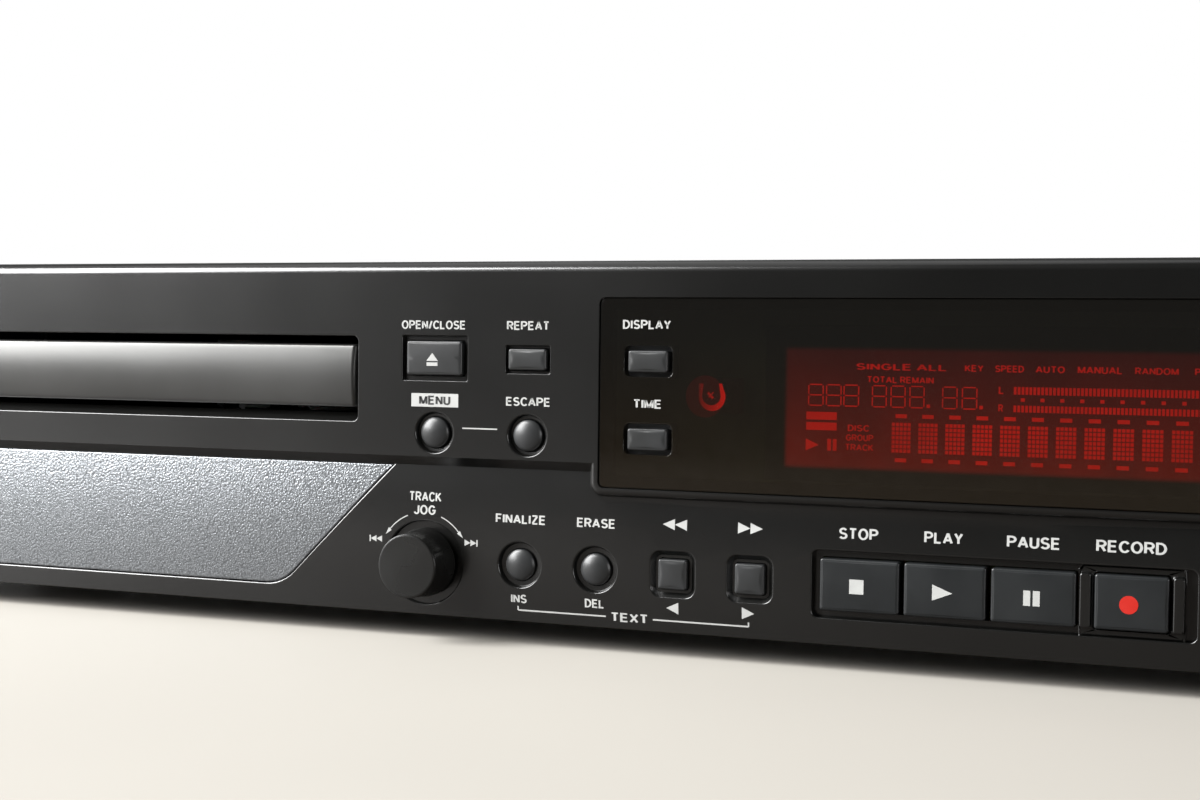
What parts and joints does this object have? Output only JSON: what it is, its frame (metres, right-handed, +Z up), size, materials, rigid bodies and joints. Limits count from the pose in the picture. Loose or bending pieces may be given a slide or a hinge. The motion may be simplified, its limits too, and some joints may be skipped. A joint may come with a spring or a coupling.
{
  "type": "cd recorder",
  "caption": "Two-unit rack compact disc recorder with a motor tray, smoked display lens, push buttons, jog dial, transport keys, rack ears and rear sockets.",
  "frame": {"origin": "on the table under the feet, midway between the rack ears and midway between the jog dial's front and the ends of the rear sockets", "axes": "+X to the right seen from the front, +Y from the front panel to the rear, +Z up"},
  "size_m": [0.4826, 0.3076, 0.094],
  "materials": {
    "panel_plastic": "satin charcoal paint on moulded plastic",
    "trim_plastic": "grained, metallic grey",
    "lens_acrylic": "smoked red-brown, polished",
    "button_plastic": "satin dark grey",
    "dial_plastic": "satin black",
    "tray_face": "satin gunmetal",
    "case_steel": "fine textured black powder coat",
    "chassis_steel": "zinc plated",
    "screw_steel": "black oxide",
    "foot_rubber": "matt",
    "display_glass": "dark glass over a fluorescent display",
    "sensor_resin": "dark clear resin",
    "circuit_board": "solder mask",
    "drive_plastic": "moulded",
    "white_plastic": "moulded acetal",
    "motor_metal": "plated",
    "belt_rubber": "smooth",
    "black_plastic": "moulded",
    "socket_metal": "plated"
  },
  "bodies": {
    "case": {"front_panel": "panel_plastic", "trim_panel": "trim_plastic", "display_lens": "lens_acrylic", "record_guard": "panel_plastic", "rack_ear_left": "case_steel", "rack_ear_right": "case_steel", "top_cover": "case_steel", "chassis_pan": "chassis_steel", "rear_panel": "case_steel", "feet": "foot_rubber", "cover_screws": "screw_steel", "ear_screws": "screw_steel", "jog_encoder": "motor_metal", "level_controls": "motor_metal", "phones_jack": "black_plastic", "remote_sensor": "sensor_resin", "display_tube": "display_glass", "panel_board": "circuit_board", "panel_switches": "black_plastic", "drive_base": "drive_plastic", "drive_cover": "chassis_steel", "drive_bracket": "chassis_steel", "loading_motor": "motor_metal", "loading_belt": "belt_rubber", "main_board": "circuit_board", "power_supply": "circuit_board", "rear_sockets": "socket_metal", "mains_inlet": "black_plastic"},
    "tray": {"disc_tray": "drive_plastic", "tray_front": "tray_face"},
    "loading_gear": {"loading_gear": "white_plastic"},
    "motor_pulley": {"motor_pulley": "white_plastic"},
    "traverse": {"traverse_deck": "drive_plastic", "spindle_motor": "motor_metal", "guide_rods": "motor_metal", "sled_motor": "motor_metal"},
    "turntable": {"turntable": "drive_plastic"},
    "clamp": {"clamp_puck": "white_plastic"},
    "sled": {"laser_sled": "motor_metal"},
    "lead_screw": {"lead_screw": "motor_metal"},
    "jog_push": {"jog_plunger": "white_plastic"},
    "jog": {"jog_dial": "dial_plastic", "jog_shaft": "motor_metal"},
    "input_level": {"input_knob": "dial_plastic"},
    "phones_level": {"phones_knob": "dial_plastic"},
    "open_button": {"open_button": "button_plastic"},
    "repeat_button": {"repeat_button": "button_plastic"},
    "menu_button": {"menu_button": "button_plastic"},
    "escape_button": {"escape_button": "button_plastic"},
    "display_button": {"display_button": "button_plastic"},
    "time_button": {"time_button": "button_plastic"},
    "finalize_button": {"finalize_button": "button_plastic"},
    "erase_button": {"erase_button": "button_plastic"},
    "search_back_button": {"search_back_button": "button_plastic"},
    "search_forward_button": {"search_forward_button": "button_plastic"},
    "stop_key": {"stop_key": "button_plastic"},
    "play_key": {"play_key": "button_plastic"},
    "pause_key": {"pause_key": "button_plastic"},
    "record_key": {"record_key": "button_plastic"},
    "power_button": {"power_button": "button_plastic"}
  },
  "joints": [
    {"name": "tray_slide", "type": "slide", "parent": "case", "child": "tray", "axis": [0, -1, 0], "range_m": [0, 0.138]},
    {"name": "gear_turn", "type": "hinge", "parent": "case", "child": "loading_gear", "pos_m": [-0.07125, -0.1153, 0.05615], "axis": [0, 0, 1], "range_deg": [-796, 5]},
    {"name": "motor_turn", "type": "hinge", "parent": "case", "child": "motor_pulley", "pos_m": [-0.09725, -0.1153, 0.05615], "axis": [0, 0, 1], "range_deg": [-2219, 5]},
    {"name": "deck_tilt", "type": "hinge", "parent": "case", "child": "traverse", "pos_m": [-0.12125, 0.02505, 0.057], "axis": [1, 0, 0], "range_deg": [0, 2.5]},
    {"name": "turntable_spin", "type": "hinge", "parent": "traverse", "child": "turntable", "pos_m": [-0.12125, -0.07095, 0.0609], "axis": [0, 0, 1], "continuous": true},
    {"name": "clamp_spin", "type": "hinge", "parent": "case", "child": "clamp", "pos_m": [-0.12125, -0.07095, 0.0675], "axis": [0, 0, 1], "continuous": true},
    {"name": "sled_slide", "type": "slide", "parent": "traverse", "child": "sled", "axis": [0, 1, 0], "range_m": [0, 0.034]},
    {"name": "screw_turn", "type": "hinge", "parent": "traverse", "child": "lead_screw", "pos_m": [-0.10725, -0.07095, 0.0535], "axis": [0, 1, 0], "range_deg": [-5, 4085]},
    {"name": "jog_press", "type": "slide", "parent": "case", "child": "jog_push", "axis": [0, 1, 0], "range_m": [0, 0.0005], "stiffness_N_per_m": 1500},
    {"name": "jog_turn", "type": "hinge", "parent": "jog_push", "child": "jog", "pos_m": [-0.0302, -0.14415, 0.0192], "axis": [0, 1, 0], "continuous": true},
    {"name": "input_level_turn", "type": "hinge", "parent": "case", "child": "input_level", "pos_m": [0.16435, -0.14415, 0.02], "axis": [0, 1, 0], "range_deg": [-150, 150]},
    {"name": "phones_level_turn", "type": "hinge", "parent": "case", "child": "phones_level", "pos_m": [0.18435, -0.14415, 0.02], "axis": [0, 1, 0], "range_deg": [-150, 150]},
    {"name": "open_press", "type": "slide", "parent": "case", "child": "open_button", "axis": [0, 1, 0], "range_m": [0, 0.0008], "stiffness_N_per_m": 800},
    {"name": "repeat_press", "type": "slide", "parent": "case", "child": "repeat_button", "axis": [0, 1, 0], "range_m": [0, 0.0008], "stiffness_N_per_m": 800},
    {"name": "menu_press", "type": "slide", "parent": "case", "child": "menu_button", "axis": [0, 1, 0], "range_m": [0, 0.0008], "stiffness_N_per_m": 800},
    {"name": "escape_press", "type": "slide", "parent": "case", "child": "escape_button", "axis": [0, 1, 0], "range_m": [0, 0.0008], "stiffness_N_per_m": 800},
    {"name": "display_press", "type": "slide", "parent": "case", "child": "display_button", "axis": [0, 1, 0], "range_m": [0, 0.0008], "stiffness_N_per_m": 800},
    {"name": "time_press", "type": "slide", "parent": "case", "child": "time_button", "axis": [0, 1, 0], "range_m": [0, 0.0008], "stiffness_N_per_m": 800},
    {"name": "finalize_press", "type": "slide", "parent": "case", "child": "finalize_button", "axis": [0, 1, 0], "range_m": [0, 0.0008], "stiffness_N_per_m": 800},
    {"name": "erase_press", "type": "slide", "parent": "case", "child": "erase_button", "axis": [0, 1, 0], "range_m": [0, 0.0008], "stiffness_N_per_m": 800},
    {"name": "search_back_press", "type": "slide", "parent": "case", "child": "search_back_button", "axis": [0, 1, 0], "range_m": [0, 0.0008], "stiffness_N_per_m": 800},
    {"name": "search_forward_press", "type": "slide", "parent": "case", "child": "search_forward_button", "axis": [0, 1, 0], "range_m": [0, 0.0008], "stiffness_N_per_m": 800},
    {"name": "stop_press", "type": "slide", "parent": "case", "child": "stop_key", "axis": [0, 1, 0], "range_m": [0, 0.0008], "stiffness_N_per_m": 800},
    {"name": "play_press", "type": "slide", "parent": "case", "child": "play_key", "axis": [0, 1, 0], "range_m": [0, 0.0008], "stiffness_N_per_m": 800},
    {"name": "pause_press", "type": "slide", "parent": "case", "child": "pause_key", "axis": [0, 1, 0], "range_m": [0, 0.0008], "stiffness_N_per_m": 800},
    {"name": "record_press", "type": "slide", "parent": "case", "child": "record_key", "axis": [0, 1, 0], "range_m": [0, 0.0008], "stiffness_N_per_m": 800},
    {"name": "power_press", "type": "slide", "parent": "case", "child": "power_button", "axis": [0, 1, 0], "range_m": [0, 0.0008], "stiffness_N_per_m": 800}
  ],
  "couplings": [
    {"joint": "gear_turn", "follows": "tray_slide", "rad_per_m": -100},
    {"joint": "motor_turn", "follows": "tray_slide", "rad_per_m": -280},
    {"joint": "screw_turn", "follows": "sled_slide", "rad_per_m": 2094.4}
  ]
}
